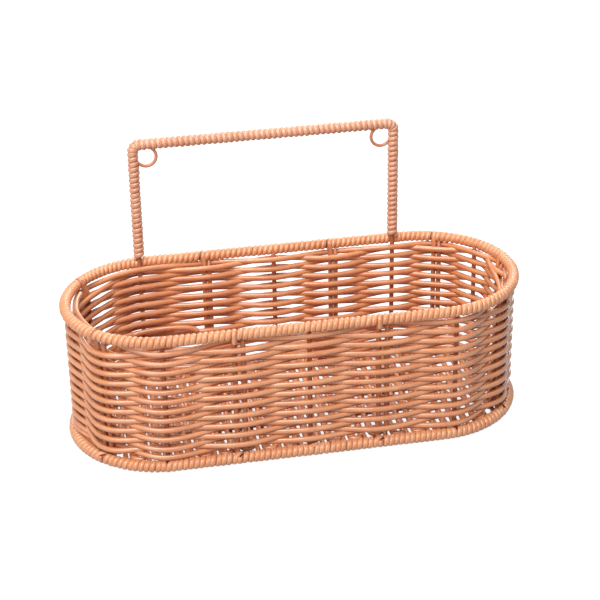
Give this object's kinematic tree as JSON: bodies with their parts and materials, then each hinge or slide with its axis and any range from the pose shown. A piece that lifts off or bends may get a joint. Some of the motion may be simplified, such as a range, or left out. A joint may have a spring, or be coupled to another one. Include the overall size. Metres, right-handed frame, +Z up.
{
  "type": "hanging storage basket",
  "caption": "Oblong plastic-strand basket woven on a wire frame, open on top, with a wrapped rim and base ring and a tall wrapped back hanger with an eye in each upper corner.",
  "frame": {"origin": "middle of the basket's length and width, on the surface that the base ring stands on", "axes": "+X along the basket's length towards the right seen from the front, +Y towards the back, where the hanger stands, +Z up"},
  "size_m": [0.3004, 0.1254, 0.1807],
  "materials": {
    "strand": "satin salmon-orange plastic strand, round",
    "wrap": "satin salmon-orange plastic strand, tightly wound",
    "wire": "wire coated to match the strand"
  },
  "bodies": {
    "root": {"base_ring_wire": "wire", "base_ring_wrap": "wrap", "base_strand_1": "strand", "base_strand_2": "strand", "base_wire_1": "wire", "base_wire_2": "wire", "base_wire_3": "wire", "hanger_wire": "wire", "hanger_wrap": "wrap", "hanging_eye_left": "wire", "hanging_eye_right": "wire", "looped_stake_1": "strand", "looped_stake_2": "strand", "looped_stake_3": "strand", "looped_stake_4": "strand", "looped_stake_5": "strand", "looped_stake_6": "strand", "looped_stake_7": "strand", "looped_stake_8": "strand", "looped_stake_9": "strand", "plain_stake_1": "strand", "plain_stake_2": "strand", "plain_stake_3": "strand", "plain_stake_4": "strand", "plain_stake_5": "strand", "plain_stake_6": "strand", "plain_stake_7": "strand", "plain_stake_8": "strand", "plain_stake_9": "strand", "rim_wire": "wire", "rim_wrap": "wrap", "upright_wire_1": "wire", "upright_wire_2": "wire", "upright_wire_3": "wire", "upright_wire_4": "wire", "upright_wire_5": "wire", "upright_wire_6": "wire", "upright_wire_7": "wire", "wall_weaver_1": "strand", "wall_weaver_2": "strand"}
  },
  "joints": []
}
